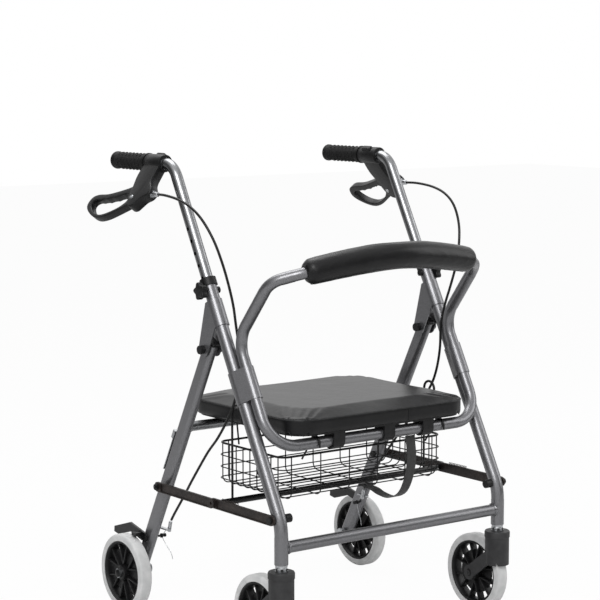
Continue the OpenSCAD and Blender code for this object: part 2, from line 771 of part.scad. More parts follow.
// Pedal lever, shoe and return arm that turn on a bolt through the rear leg's back
brake_pivot = [rear_y_at(150) + 4, 150];
module brake_arm() {
    x0 = -leg_x - rear_leg_t / 2 - 1 - 5;
    p = brake_pivot;
    color(DARK) {
        translate([x0, 0, 0]) rotate([90, 0, 90]) linear_extrude(5) union() {
            polygon([[p[0] - 6, p[1] - 7], [p[0] + 8, p[1] - 8], [226, 152], [272, 138], [288, 141], [287, 152],
                [230, 170], [p[0] - 2, p[1] + 8]]);
            translate(p) circle(9);
        }
        translate([x0 - 16, p[0] + 4, 2 * wheel_r - 0.2]) cube([17, 15, 7]);
    }
}

side("r") front_leg();  // front_leg_r
side("l") front_leg();  // front_leg_l
crossbar();
seat_loop();
saddle_brackets();
side("r") fold_bracket();  // fold_bracket_r
side("l") fold_bracket();  // fold_bracket_l
fold_bolts();
leg_collars();
height_bolts();
brace_front_bolts();
backrest_pad();
side("r") upper_cable();  // upper_cable_r
side("l") upper_cable();  // upper_cable_l
lift_bar();
lift_rods();
pull_strap();
basket();
front_hooks();
side("r") rear_leg();  // rear_leg_r
side("l") rear_leg();  // rear_leg_l
rear_rail();
basket_hooks();
side("r") lower_cable();  // lower_cable_r
side("l") lower_cable();  // lower_cable_l
cable_adjusters();
rear_axles();
brace_rear_bolts();
latch();
side("r") brace_front();  // brace_front_r
side("l") brace_front();  // brace_front_l
brace_pins();
brace_springs();
side("r") brace_rear();  // brace_rear_r
side("l") brace_rear();  // brace_rear_l
seat_board();
seat_pad();
seat_clips();
side("r") handle_tube();  // handle_tube_r
side("l") handle_tube();  // handle_tube_l
side("r") grip();  // grip_r
side("l") grip();  // grip_l
side("r") brake_housing();  // brake_housing_r
side("l") brake_housing();  // brake_housing_l
side("r") brake_lever();  // brake_lever_r
side("l") brake_lever();  // brake_lever_l
side("r") star_knob();  // star_knob_r
side("l") star_knob();  // star_knob_l
side("r") caster_fork();  // caster_fork_r
side("l") caster_fork();  // caster_fork_l
side("r") rim_at(-leg_x, caster_y, 2 * fork_in - 2);  // caster_rim_r
side("l") rim_at(-leg_x, caster_y, 2 * fork_in - 2);  // caster_rim_l
side("r") tyre_at(-leg_x, caster_y);  // caster_tyre_r
side("l") tyre_at(-leg_x, caster_y);  // caster_tyre_l
side("r") rim_at(-leg_x - rear_wheel_out, axle_y, tyre_w + 4);  // rear_rim_r
side("l") rim_at(-leg_x - rear_wheel_out, axle_y, tyre_w + 4);  // rear_rim_l
side("r") tyre_at(-leg_x - rear_wheel_out, axle_y);  // rear_tyre_r
side("l") tyre_at(-leg_x - rear_wheel_out, axle_y);  // rear_tyre_l
side("r") brake_arm();  // brake_arm_r
side("l") brake_arm();  // brake_arm_l
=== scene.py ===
import math

import bmesh
import bpy
from mathutils import Matrix, Vector


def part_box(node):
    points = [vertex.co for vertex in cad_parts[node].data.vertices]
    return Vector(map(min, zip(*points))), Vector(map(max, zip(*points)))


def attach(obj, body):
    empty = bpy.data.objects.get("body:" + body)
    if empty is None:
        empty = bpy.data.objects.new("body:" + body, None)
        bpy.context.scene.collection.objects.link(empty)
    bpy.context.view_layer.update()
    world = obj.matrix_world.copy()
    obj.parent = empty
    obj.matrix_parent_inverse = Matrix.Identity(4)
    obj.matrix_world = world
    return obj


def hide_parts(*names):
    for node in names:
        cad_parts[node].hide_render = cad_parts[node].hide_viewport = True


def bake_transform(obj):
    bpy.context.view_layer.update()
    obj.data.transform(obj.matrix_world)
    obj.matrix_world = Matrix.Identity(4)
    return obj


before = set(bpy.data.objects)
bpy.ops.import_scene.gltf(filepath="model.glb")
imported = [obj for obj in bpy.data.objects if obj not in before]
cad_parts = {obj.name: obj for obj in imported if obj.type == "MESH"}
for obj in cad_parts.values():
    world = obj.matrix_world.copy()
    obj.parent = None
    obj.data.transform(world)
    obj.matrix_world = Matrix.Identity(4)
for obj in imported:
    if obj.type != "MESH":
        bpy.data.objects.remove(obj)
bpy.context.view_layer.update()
scene = bpy.context.scene

# Camera: a long lens at chest height, off the walker's right front corner.
aim = Vector((0, 0.036, 0.6117))
away = Vector((-0.5988, -0.7918, 0.1201)).normalized()
camera_data = bpy.data.cameras.new("camera")
camera_data.lens = 120
camera_data.sensor_width = 36
camera = bpy.data.objects.new("camera", camera_data)
scene.collection.objects.link(camera)
camera.location = aim + away * 3.92
camera.rotation_euler = away.to_track_quat("Z", "Y").to_euler()
scene.camera = camera


# Frame tubes: bent steel tube, powder coated in a satin metallic grey. The coat melts into a
# faint orange peel about a millimetre across, with fine bright flakes in it.
def linear(colour):
    parts = [int(colour[i:i + 2], 16) / 255 for i in (1, 3, 5)]
    return [c / 12.92 if c <= 0.04045 else ((c + 0.055) / 1.055) ** 2.4 for c in parts] + [1]


def add(tree, kind, inputs=None, **settings):
    made = tree.nodes.new(kind)
    for key, value in settings.items():
        setattr(made, key, value)
    for key, value in (inputs or {}).items():
        if isinstance(value, bpy.types.NodeSocket):
            tree.links.new(value, made.inputs[key])
        else:
            made.inputs[key].default_value = value
    return made


def material(name, colour, roughness, metallic=0.0, **shader_values):
    made = bpy.data.materials.new(name)
    made.use_nodes = True
    tree = made.node_tree
    shader = tree.nodes["Principled BSDF"]
    shader.inputs["Base Color"].default_value = linear(colour)
    shader.inputs["Roughness"].default_value = roughness
    shader.inputs["Metallic"].default_value = metallic
    for key, value in shader_values.items():
        shader.inputs[key.replace("_", " ")].default_value = value
    return made, tree, shader, add(tree, "ShaderNodeTexCoord").outputs["Object"]


def mottled(tree, shader, place, size, dark, light, low=0.35, high=0.65, detail=3.0):
    """Colour that drifts between two near shades over patches of this size in metres."""
    noise = add(tree, "ShaderNodeTexNoise", {"Vector": place, "Scale": 1 / size, "Detail": detail})
    ramp = add(tree, "ShaderNodeValToRGB", {"Fac": noise.outputs["Fac"]})
    for stop, at, colour in zip(ramp.color_ramp.elements, (low, high), (dark, light)):
        stop.position = at
        stop.color = linear(colour)
    tree.links.new(ramp.outputs["Color"], shader.inputs["Base Color"])
    return noise


def bumped(tree, shader, height, depth, strength=1.0):
    """Relief of this depth in metres from a height between 0 and 1."""
    bump = add(tree, "ShaderNodeBump", {"Height": height, "Distance": depth, "Strength": strength})
    tree.links.new(bump.outputs["Normal"], shader.inputs["Normal"])
    return bump


powder_coat, tree, shader, place = material("satin_grey_powder_coat", "#7b7b7d", 0.3, 0.75)
mottled(tree, shader, place, 0.0016, "#717173", "#868689")
peel = add(tree, "ShaderNodeTexNoise", {"Vector": place, "Scale": 1 / 0.0022, "Detail": 2.0})
bumped(tree, shader, peel.outputs["Fac"], 0.0001, 0.25)


def dress(finish, slot_name, *nodes):
    """Gives CAD nodes their finish."""
    for name in nodes:
        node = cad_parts[name]
        node.data.materials.clear()
        node.data.materials.append(finish)


dress(powder_coat, "frame", "front_leg_r", "front_leg_l", "crossbar", "seat_loop", "saddle_brackets",
      "fold_bracket_r", "fold_bracket_l", "rear_leg_r", "rear_leg_l")


# Weld beads: the crossbar and the back rail are joined to the legs by short hand-laid welds,
# which show as a rippled ring under the coat.
def keep(name, bm, body, finish, replaces=(), crease=35):
    """Makes the finished bmesh an object that rides on a body."""
    bmesh.ops.recalc_face_normals(bm, faces=bm.faces)
    mesh = bpy.data.meshes.new(name)
    bm.to_mesh(mesh)
    bm.free()
    for face in mesh.polygons:
        face.use_smooth = True
    mesh.set_sharp_from_angle(angle=math.radians(crease))
    mesh.materials.append(finish)
    made = bpy.data.objects.new(name, mesh)
    scene.collection.objects.link(made)
    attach(made, body)
    if replaces:
        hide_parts(*replaces)
    return made


def turned(bm, profile, centre, axis, steps=48):
    """Turns a profile of (radius, distance along the axis) about an axis through centre."""
    axis = Vector(axis).normalized()
    side = axis.orthogonal().normalized()
    centre = Vector(centre)
    points = [bm.verts.new(centre + side * r + axis * h) for r, h in profile]
    lines = [bm.edges.new(pair) for pair in zip(points, points[1:])]
    bmesh.ops.spin(bm, geom=points + lines, cent=centre, axis=axis, angle=2 * math.pi, steps=steps,
                   use_merge=True, use_duplicate=False)
    bmesh.ops.remove_doubles(bm, verts=bm.verts, dist=1e-6)


def bead(bm, centre, axis, radius, thick=0.0022):
    ring = [(radius + thick * math.cos(a), thick * 1.2 * math.sin(a))
            for a in (math.pi * k / 4 for k in range(9))]
    start = len(bm.verts)
    turned(bm, ring, centre, axis, 40)
    bm.verts.ensure_lookup_table()
    for i, v in enumerate(list(bm.verts)[start:]):
        out = (v.co - Vector(centre)).normalized()
        v.co += out * 0.00035 * math.sin(i * 1.7)


leg_x = 0.262
bar_y, bar_z = -0.255, 0.211
rail_lo, rail_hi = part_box("rear_rail")
rail = (Vector(rail_lo) + Vector(rail_hi)) / 2
bm = bmesh.new()
for side in (-1, 1):
    bead(bm, (side * (leg_x - 0.0125), bar_y, bar_z), (-side, 0, 0), 0.011)
keep("crossbar_welds", bm, "front_frame", powder_coat)
bm = bmesh.new()
for side in (-1, 1):
    bead(bm, (side * (leg_x - 0.0087), rail.y, rail.z), (-side, 0, 0), 0.0093)
keep("rail_welds", bm, "rear_frame", powder_coat)

# Handle tubes and back rail: aluminium-coloured steel tube, polished and clear coated, so
# they mirror the room softly. Drawing marks run round them too fine to see singly.
bright, tree, shader, place = material("bright_satin_tube", "#919294", 0.27, 1.0)
marks = add(tree, "ShaderNodeTexNoise", {"Vector": place, "Scale": 1 / 0.0035, "Detail": 4.0})
mottled(tree, shader, place, 0.02, "#88898b", "#999a9c")
bumped(tree, shader, marks.outputs["Fac"], 0.00005, 0.15)
dress(bright, "bright_tube", "handle_tube_r", "handle_tube_l", "rear_rail")

# Small hardware: zinc-plated steel. The plating dries in faint cloudy patches a few
# millimetres across.
zinc, tree, shader, place = material("zinc_plate", "#b4b6b8", 0.32, 1.0)
mottled(tree, shader, place, 0.004, "#a3a5a8", "#c4c6c8")
spots = add(tree, "ShaderNodeTexNoise", {"Vector": place, "Scale": 1 / 0.0015, "Detail": 3.0})
bumped(tree, shader, spots.outputs["Fac"], 0.00008, 0.3)
dress(zinc, "zinc", "cable_adjusters", "rear_axles", "latch")

# Moulded black fittings: glass-filled nylon with a fine spark-eroded grain, half a millimetre
# across, drawn a little coarser so that it shows.
nylon, tree, shader, place = material("black_nylon", "#131314", 0.42, Specular_IOR_Level=0.28)
mottled(tree, shader, place, 0.012, "#0f0f10", "#19191a")
grain = add(tree, "ShaderNodeTexNoise", {"Vector": place, "Scale": 1 / 0.0009, "Detail": 2.0})
bumped(tree, shader, grain.outputs["Fac"], 0.00012, 0.35)
dress(nylon, "black_plastic", "fold_bolts", "leg_collars", "height_bolts", "brace_front_bolts",
      "brace_rear_bolts", "seat_clips", "seat_board", "brace_pins")

# Dipped wire and bar, and the brake arms: steel in a glossy black plastic dip, thick enough to
# round its edges.
dip, tree, shader, place = material("black_plastic_dip", "#0c0c0d", 0.32,
                                    Specular_IOR_Level=0.3, Coat_Weight=0.1, Coat_Roughness=0.2)
runs = add(tree, "ShaderNodeTexNoise", {"Vector": place, "Scale": 1 / 0.006, "Detail": 2.0})
mottled(tree, shader, place, 0.01, "#0a0a0b", "#121213")
bumped(tree, shader, runs.outputs["Fac"], 0.0002, 0.2)
dress(dip, "black_wire", "lift_bar", "lift_rods", "front_hooks", "basket_hooks")
dress(dip, "brace_steel", "brake_arm_r", "brake_arm_l")

# Folding links: pressed steel strip in a dark brown-black coat, worn a little
# lighter in patches.
strip, tree, shader, place = material("brown_black_coated_steel", "#2c2624", 0.42, 0.2,
                                      Specular_IOR_Level=0.3)
mottled(tree, shader, place, 0.015, "#262120", "#3a3330", 0.4, 0.75)
pits = add(tree, "ShaderNodeTexNoise", {"Vector": place, "Scale": 1 / 0.0014, "Detail": 3.0})
bumped(tree, shader, pits.outputs["Fac"], 0.00012, 0.35)
dress(strip, "brace_steel", "brace_front_r", "brace_front_l", "brace_rear_r", "brace_rear_l",
      "brace_springs")


# Rear leg plugs: nylon caps that are pushed into the top of each flat-oval rear leg to close it,
# moulded with the same black grain as the other small fittings.
def rounded_box(bm, size, place_at, edge, segments=3):
    made = bmesh.ops.create_cube(bm, size=1.0)
    bmesh.ops.scale(bm, vec=size, verts=made["verts"])
    lines = list({e for v in made["verts"] for e in v.link_edges})
    done = bmesh.ops.bevel(bm, geom=lines, offset=edge, affect="EDGES", segments=segments, profile=0.5,
                           material=-1)
    faces = {f for v in done["verts"] for f in v.link_faces}
    bmesh.ops.transform(bm, matrix=place_at, verts=list({v for f in faces for v in f.verts}))


fold_y, fold_z = -0.033, 0.546
rear_axle_y, axle_z = 0.214, 0.076
rear_lean = math.atan((rear_axle_y - fold_y) / (fold_z - axle_z))
bm = bmesh.new()
for side in (-1, 1):
    top = Matrix.Translation((side * leg_x, fold_y, fold_z)) @ Matrix.Rotation(rear_lean, 4, "X")
    rounded_box(bm, (0.0185, 0.0335, 0.007), top @ Matrix.Translation((0, 0, 0.0165)), 0.003)
keep("rear_leg_plugs", bm, "rear_frame", nylon)

# Tyres: light grey solid rubber, moulded in one ring with a flat tread and rounded shoulders,
# and stretched onto the wheel centre.
tyre_rubber, tree, shader, place = material("light_grey_solid_rubber", "#d4d5d5", 0.55)
mottled(tree, shader, place, 0.02, "#cbcccc", "#dcdcdc")
scuff = add(tree, "ShaderNodeTexNoise", {"Vector": place, "Scale": 1 / 0.002, "Detail": 4.0})
bumped(tree, shader, scuff.outputs["Fac"], 0.00015, 0.3)
wheel_r = 0.076
wheels = []
for side, tag in ((-1, "r"), (1, "l")):
    wheels.append(("caster", tag, (side * leg_x, -0.198, axle_z), "caster_wheel_" + tag, 0.016))
    wheels.append(("rear", tag, (side * 0.295, rear_axle_y, axle_z), "rear_wheel_" + tag, 0.015))
half_tread, corner_r = 0.013, 0.0055
quarter = [math.pi / 2 * k / 6 for k in range(7)]
for kind, tag, centre, body, hub in wheels:
    bm = bmesh.new()
    shoulder = [(wheel_r - corner_r + corner_r * math.cos(a), half_tread - corner_r + corner_r * math.sin(a))
                for a in quarter]
    outer_half = shoulder + [(0.0628, half_tread), (0.0622, half_tread - 0.0012)]
    profile = [(r, -h) for r, h in reversed(outer_half)] + outer_half
    turned(bm, profile + profile[:1], centre, (1, 0, 0), 96)
    keep(f"{kind}_tyre_{tag}_round", bm, body, tyre_rubber, [f"{kind}_tyre_{tag}"])

# Wheel centres: one moulding in black nylon, with a hub, a rim and six pairs of deep spokes
# that leave drop-shaped gaps between them.
for kind, tag, centre, body, hub in wheels:
    bm = bmesh.new()
    rim = [(0.0624, -0.0118), (0.0624, 0.0118), (0.0590, 0.0122), (0.0568, 0.0095), (0.0555, 0.003),
           (0.0555, -0.003), (0.0568, -0.0095), (0.0590, -0.0122), (0.0624, -0.0118)]
    turned(bm, rim, centre, (1, 0, 0), 96)
    turned(bm, [(0.0051, -hub), (0.012, -hub), (0.0145, -hub + 0.002), (0.0155, 0), (0.0145, hub - 0.002),
                (0.012, hub), (0.0051, hub), (0.0051, -hub)], centre, (1, 0, 0), 48)
    turned(bm, [(0.014, -0.0022), (0.043, -0.0016), (0.043, 0.0016), (0.014, 0.0022), (0.014, -0.0022)],
           centre, (1, 0, 0), 72)
    for k in range(6):
        for lean_side in (-1, 1):
            at = Matrix.Translation(centre) @ Matrix.Rotation(math.radians(60 * k + 11 * lean_side), 4, "X")
            lean_in = Matrix.Rotation(math.radians(9 * lean_side), 4, "X")
            spoke = at @ Matrix.Translation((0, 0, 0.0355)) @ lean_in
            rounded_box(bm, (0.016, 0.0036, 0.044), spoke, 0.0011, 2)
    keep(f"{kind}_rim_{tag}_spoked", bm, body, nylon, [f"{kind}_rim_{tag}"])
    cap = bmesh.new()
    outer = math.copysign(1, centre[0])
    ends = (-1, 1) if kind == "caster" else (outer,)
    for end in ends:
        reach = 0.0225 if kind == "caster" else 0.0215
        turned(cap, [(0, reach + 0.0022), (0.005, reach + 0.0018), (0.0078, reach), (0.008, reach - 0.003),
                     (0.0, reach - 0.003)], centre, (end, 0, 0), 32)
    keep(f"{kind}_axle_caps_{tag}", cap, "caster_" + tag if kind == "caster" else "rear_frame",
         nylon)

# Caster forks: dark grey nylon, a little lighter than the wheels, with the same moulded grain.
fork_nylon, tree, shader, place = material("dark_grey_nylon", "#333334", 0.5, Specular_IOR_Level=0.3)
mottled(tree, shader, place, 0.02, "#2f2f30", "#39393a")
grain = add(tree, "ShaderNodeTexNoise", {"Vector": place, "Scale": 1 / 0.0009, "Detail": 2.0})
bumped(tree, shader, grain.outputs["Fac"], 0.00012, 0.35)
dress(fork_nylon, "fork_plastic", "caster_fork_r", "caster_fork_l")
for side, tag in ((-1, "r"), (1, "l")):
    stem = (side * leg_x, -0.255, 0)
    bm = bmesh.new()
    turned(bm, [(0.0239, 0.1555), (0.0247, 0.1565), (0.0247, 0.1660), (0.0235, 0.1684), (0.0125, 0.1688)],
           stem, (0, 0, 1), 64)
    keep("caster_dust_cap_" + tag, bm, "caster_" + tag, fork_nylon)
    bm = bmesh.new()
    turned(bm, [(0.0, 0.1686), (0.0118, 0.1686), (0.0120, 0.1692), (0.0120, 0.1700), (0.0105, 0.1702),
                (0.0108, 0.1708), (0.0108, 0.1762), (0.0104, 0.1768), (0.0112, 0.1770), (0.0112, 0.1806),
                (0.0, 0.1806)],
           stem, (0, 0, 1), 48)
    keep("caster_stem_nut_" + tag, bm, "caster_" + tag, zinc)


# Brake housings: two-part nylon mouldings clamped round the handle tube, which carry the
# lever's pivot screw and the cable's stop.
def slab(outline, width, place_at, hole=None, edge=0.0015, segments=3):
    """A flat moulding: its outline in (y, z), given a width along x and rounded edges."""
    bm = bmesh.new()
    loops = [[bm.verts.new((-width / 2, y, z)) for y, z in line] for line in (outline, hole) if line]
    lines = [bm.edges.new(pair) for loop in loops for pair in zip(loop, loop[1:] + loop[:1])]
    if hole:
        bmesh.ops.bridge_loops(bm, edges=lines)
    else:
        bm.faces.new(loops[0])
    grown = bmesh.ops.extrude_face_region(bm, geom=bm.faces[:])["geom"]
    bmesh.ops.translate(bm, verts=[g for g in grown if isinstance(g, bmesh.types.BMVert)], vec=(width, 0, 0))
    bmesh.ops.recalc_face_normals(bm, faces=bm.faces)
    sharp = [e for e in bm.edges if len(e.link_faces) == 2 and e.calc_face_angle() > math.radians(40)]
    if edge:
        bmesh.ops.bevel(bm, geom=sharp, offset=edge, affect="EDGES", segments=segments, profile=0.5,
                        material=-1)
    bmesh.ops.transform(bm, matrix=place_at, verts=bm.verts)
    return bm


def curve_through(points, steps, closed=False):
    """A smooth run of points through a few chosen ones."""
    points = [Vector(p) for p in points]
    n = len(points)
    at = (lambda i: points[i % n]) if closed else (lambda i: points[max(0, min(n - 1, i))])
    run = []
    for i in range(n if closed else n - 1):
        a, b, c, d = at(i - 1), at(i), at(i + 1), at(i + 2)
        for k in range(steps):
            t = k / steps
            run.append(0.5 * (2 * b + (c - a) * t + (2 * a - 5 * b + 4 * c - d) * t * t
                              + (3 * b - a - 3 * c + d) * t ** 3))
    return run if closed else run + [points[-1]]


def millimetres(points):
    return [tuple(v / 1000 for v in p) for p in points]


def join_in(bm, other):
    """Moves everything in the other bmesh into this one."""
    extra = bpy.data.meshes.new("extra")
    other.to_mesh(extra)
    other.free()
    bm.from_mesh(extra)
    bpy.data.meshes.remove(extra)


grip_z, clamp_y, clamp_len, tilt = 0.884, 0.11218, 0.054, math.radians(37)
mirror_x = Matrix.Diagonal((-1, 1, 1, 1))
on_tube = Matrix.Translation((-leg_x, clamp_y, grip_z)) @ Matrix.Rotation(tilt, 4, "Y")
sides = (("r", Matrix.Identity(4)), ("l", mirror_x))
housing_outline = [p[:2] for p in curve_through([p + (0,) for p in millimetres(
    [(2, -8), (0, -30), (-4, -46), (-18, -60), (-22, -69), (-18, -78), (-6, -85), (2, -96), (9, -105),
     (22, -106), (34, -97), (40, -82), (45, -62), (52, -38), (52, -8)])], 4)]
pivot = Vector((0, 0.026, -0.086))
for tag, flip in sides:
    bm = slab(housing_outline, 0.0215, flip @ on_tube, edge=0.003)
    clamp = [(0.0112, 0), (0.0160, 0), (0.0168, 0.0012), (0.0168, clamp_len - 0.0012), (0.0160, clamp_len),
             (0.0112, clamp_len), (0.0112, 0)]
    ring = bmesh.new()
    turned(ring, clamp, (0, 0, 0), (0, 1, 0), 48)
    rounded_box(ring, (0.012, 0.026, 0.009), Matrix.Translation((0, 0.028, 0.0165)), 0.003)
    bmesh.ops.transform(ring, matrix=flip @ on_tube, verts=ring.verts)
    join_in(bm, ring)
    keep("brake_housing_moulding_" + tag, bm, "handle_" + tag, nylon,
         ["brake_housing_" + tag])
    bm = bmesh.new()
    for x_side in (-1, 1):
        turned(bm, [(0, 0.0125), (0.0034, 0.0123), (0.0045, 0.0115), (0.0047, 0.0105), (0, 0.0105)],
               pivot, (x_side, 0, 0), 24)
    turned(bm, [(0, -0.0375), (0.0028, -0.0375), (0.0045, -0.0365), (0.0052, -0.030), (0.0052, -0.0215),
                (0.0075, -0.0212), (0.0078, -0.0165), (0, -0.0165)], (0, 0, -0.069), (0, 1, 0), 32)
    bmesh.ops.transform(bm, matrix=flip @ on_tube, verts=bm.verts)
    keep("brake_screws_" + tag, bm, "handle_" + tag, zinc)

# Brake levers: a broad nylon strap moulded as a D-shaped loop for the fingers, with shallow
# finger rests under its upper bar.
lever_outline = millimetres([(-8, 8), (-3, 23), (12, 29), (31, 21), (61, 11), (91, 3), (120, 0), (136, -7),
                             (141, -19), (138, -30), (124, -40), (100, -49), (78, -51), (55, -45), (30, -32),
                             (8, -19), (-6, -10)])
lever_hole = millimetres([(18, 6), (31, 8), (45, 4), (68, -3), (92, -8), (112, -11), (124, -15), (128, -22),
                          (120, -31), (104, -40), (80, -44), (58, -38), (34, -26), (20, -15), (14, -5)])
for tag, flip in sides:
    smooth_out = [(p.x, p.y) for p in curve_through([p + (0,) for p in lever_outline], 3, True)]
    smooth_in = []
    for p in curve_through([p + (0,) for p in lever_hole], 3, True):
        under = p.y > -0.013 and 0.03 < p.x < 0.115
        smooth_in.append((p.x, p.y - (0.0011 * (1 + math.cos(p.x * 2 * math.pi / 0.012)) if under else 0)))
    bm = slab(smooth_out, 0.0155, flip @ on_tube @ Matrix.Translation(pivot), smooth_in, edge=0.0016)
    keep("brake_lever_loop_" + tag, bm, "lever_" + tag, nylon, ["brake_lever_" + tag])

# Grips: soft black rubber sleeves pushed onto the tube, with a flange, fine ribs and rows
# of small raised dashes round the middle, and a closed, rounded end.
rubber, tree, shader, place = material("soft_black_rubber", "#101010", 0.6, Specular_IOR_Level=0.25)
mottled(tree, shader, place, 0.02, "#0d0d0d", "#161616")
skin = add(tree, "ShaderNodeTexNoise", {"Vector": place, "Scale": 1 / 0.0012, "Detail": 3.0})
bumped(tree, shader, skin.outputs["Fac"], 0.00015, 0.4)
grip_len = 0.118
ribs, rib_step, rib_floor = 30, 0.003, 0.0158 - 0.0007
for tag, flip in sides:
    profile = [(0.0113, 0), (0.0175, 0), (0.018, 0.001), (0.018, 0.004), (0.0158, 0.006)]
    for k in range(ribs):
        y = 0.014 + k * rib_step
        profile += [(0.0158, y), (rib_floor, y + 0.0008), (rib_floor, y + 0.0014), (0.0158, y + 0.0022)]
    profile += [(0.0158, grip_len - 0.009), (0.0172, grip_len - 0.006), (0.0172, grip_len - 0.003),
                (0.015, grip_len - 0.0004), (0.006, grip_len), (0, grip_len)]
    bm = bmesh.new()
    turned(bm, profile, (-leg_x, clamp_y + clamp_len + 0.001, grip_z), (0, 1, 0), 48)
    for row in range(7):
        for k in range(10):
            dash = Matrix.Translation((-leg_x, clamp_y + clamp_len + 0.02 + row * 0.0125, grip_z))
            dash @= Matrix.Rotation(math.radians(36 * k), 4, "Y") @ Matrix.Translation((0, 0, 0.0160))
            rounded_box(bm, (0.0052, 0.0026, 0.0016), dash, 0.0006, 1)
    bmesh.ops.transform(bm, matrix=flip, verts=bm.verts)
    keep("grip_sleeve_" + tag, bm, "handle_" + tag, rubber, ["grip_" + tag])

# Height knobs: five-lobed nylon hand knobs on the bolt that locks the handle tube, each with a
# rounded hub over the end of the bolt.
lean = math.radians(28.4)
knob_at = Vector((-leg_x, -0.255 + 0.458 * math.sin(lean), 0.253 + 0.458 * math.cos(lean)))
lobes = []
for k in range(100):
    a = 2 * math.pi * k / 100
    r = 0.0145 + 0.0024 * math.cos(5 * a)
    lobes.append((r * math.cos(a), r * math.sin(a)))
for tag, flip in sides:
    outward = flip @ Matrix.Translation(knob_at)
    bm = slab(lobes, 0.0125, outward @ Matrix.Translation((-0.0227, 0, 0)), edge=0.0022)
    hub = bmesh.new()
    turned(hub, [(0, 0), (0.0055, 0.0002), (0.007, 0.002), (0.0072, 0.016), (0.0, 0.016)], (-0.0295, 0, 0),
           (1, 0, 0), 32)
    bmesh.ops.transform(hub, matrix=outward, verts=hub.verts)
    join_in(bm, hub)
    keep("star_knob_moulding_" + tag, bm, "knob_" + tag, nylon, ["star_knob_" + tag])


# Brake cables: a steel inner wire in a smooth black plastic jacket, held at the lever, at the
# seat frame and at the adjuster on the rear leg.
def tube(name, runs, radius, finish, sides_round=3):
    """Round wire along each run of points, as one mesh."""
    data = bpy.data.curves.new(name, "CURVE")
    data.dimensions = "3D"
    data.bevel_depth = radius
    data.bevel_resolution = sides_round
    data.use_fill_caps = True
    for run in runs:
        spline = data.splines.new("POLY")
        spline.points.add(len(run) - 1)
        for point, at in zip(spline.points, run):
            point.co = (*at, 1)
    drawn = bpy.data.objects.new(name + "_line", data)
    scene.collection.objects.link(drawn)
    bpy.context.view_layer.update()
    mesh = bpy.data.meshes.new_from_object(drawn.evaluated_get(bpy.context.evaluated_depsgraph_get()))
    bpy.data.objects.remove(drawn)
    bpy.data.curves.remove(data)
    mesh.name = name
    for face in mesh.polygons:
        face.use_smooth = True
    mesh.materials.clear()
    mesh.materials.append(finish)
    made = bpy.data.objects.new(name, mesh)
    scene.collection.objects.link(made)
    return made


jacket, tree, shader, place = material("black_cable_jacket", "#101010", 0.35, Specular_IOR_Level=0.3)
mottled(tree, shader, place, 0.02, "#0d0d0d", "#161616")
draw = add(tree, "ShaderNodeTexNoise", {"Vector": place, "Scale": 1 / 0.002, "Detail": 2.0})
bumped(tree, shader, draw.outputs["Fac"], 0.00008, 0.3)
barrel = (-262 - 69 * math.sin(tilt), 112.18 - 38.4, 884 - 69 * math.cos(tilt))
upper = [barrel, (-307, 45, 829), (-309, 0, 824), (-308, -40, 812), (-304, -72, 790), (-296, -96, 755),
         (-286, -108, 715), (-275, -112, 675), (-263, -110, 635), (-254, -105, 600), (-246, -102, 560),
         (-244, -102, 515), (-244, -95, 478), (-244, -84, 448), (-244, -70.26, 425.43)]
lower = [(-244, -70, 425), (-244, -52, 400), (-244, -28, 372), (-244, 0, 345), (-243, 30, 312), (-242,
                                                                                                 62, 275),
         (-240, 92, 240), (-240, 112, 216), (-241, 124, 200), (-242, 132, 188)]
for tag, flip in sides:
    m = -1 if tag == "l" else 1
    runs = [[Vector((m * p.x, p.y, p.z)) for p in curve_through(millimetres(route), 6)]
            for route in (upper, lower)]
    cable = tube("brake_cable_upper_" + tag, [runs[0]], 0.0025, jacket)
    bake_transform(cable)
    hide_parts("upper_cable_" + tag)
    cable = tube("brake_cable_lower_" + tag, [runs[1]], 0.0025, jacket)
    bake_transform(cable)
    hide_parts("lower_cable_" + tag)


# Brake wires: the bare inner strand leaves each adjuster, is clamped by an anchor screw on the
# inner face of the rear leg, and ends in a short springy tail.
runs = []
bm = bmesh.new()
for tag, flip in sides:
    m = -1 if tag == "l" else 1
    strand = [(-242, 134, 184), (-243, 142, 172), (-244.5, 153, 160), (-245, 160, 152), (-244, 158, 144),
              (-241, 150, 132), (-238, 140, 120), (-237, 136, 108)]
    runs.append([Vector((m * p.x, p.y, p.z)) for p in curve_through(millimetres(strand), 5)])
    screw = [(0, 0), (0.0022, 0), (0.0022, 0.0055), (0.0044, 0.0057), (0.0044, 0.0092), (0.0026, 0.0094),
             (0.0026, 0.0135), (0.0036, 0.0137), (0.0036, 0.0165), (0, 0.0168)]
    turned(bm, screw, (m * -0.2536, 0.161, 0.152), (m, 0, 0), 24)
strands = tube("brake_wires", runs, 0.0006, zinc, 2)
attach(strands, "rear_frame")
keep("brake_anchor_screws", bm, "rear_frame", nylon)


# Basket: dipped steel wire. Long wires are bent into a U down one side, across the floor and up
# the other; level wires run round outside them and a thicker one forms the rim.
basket_lo, basket_hi = (Vector(v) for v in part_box("basket"))
wire_r = 0.0012
x0, x1 = basket_lo.x + 0.003, basket_hi.x - 0.003
y0, y1 = basket_lo.y + 0.003, basket_hi.y - 0.003
z0, z1 = basket_lo.z + wire_r, basket_hi.z - 0.0022
turn_r = 0.014


def bent_u(a0, a1, z_top, z_floor, r):
    """Half-outline of a U wire as (across, height) pairs with rounded lower corners."""
    arc = [math.pi / 2 * k / 6 for k in range(7)]
    left = [(a0, z_top)] + [(a0 + r - r * math.cos(a), z_floor + r - r * math.sin(a)) for a in arc]
    right = [(a1 - r + r * math.sin(a), z_floor + r - r * math.cos(a)) for a in arc] + [(a1, z_top)]
    return left + right


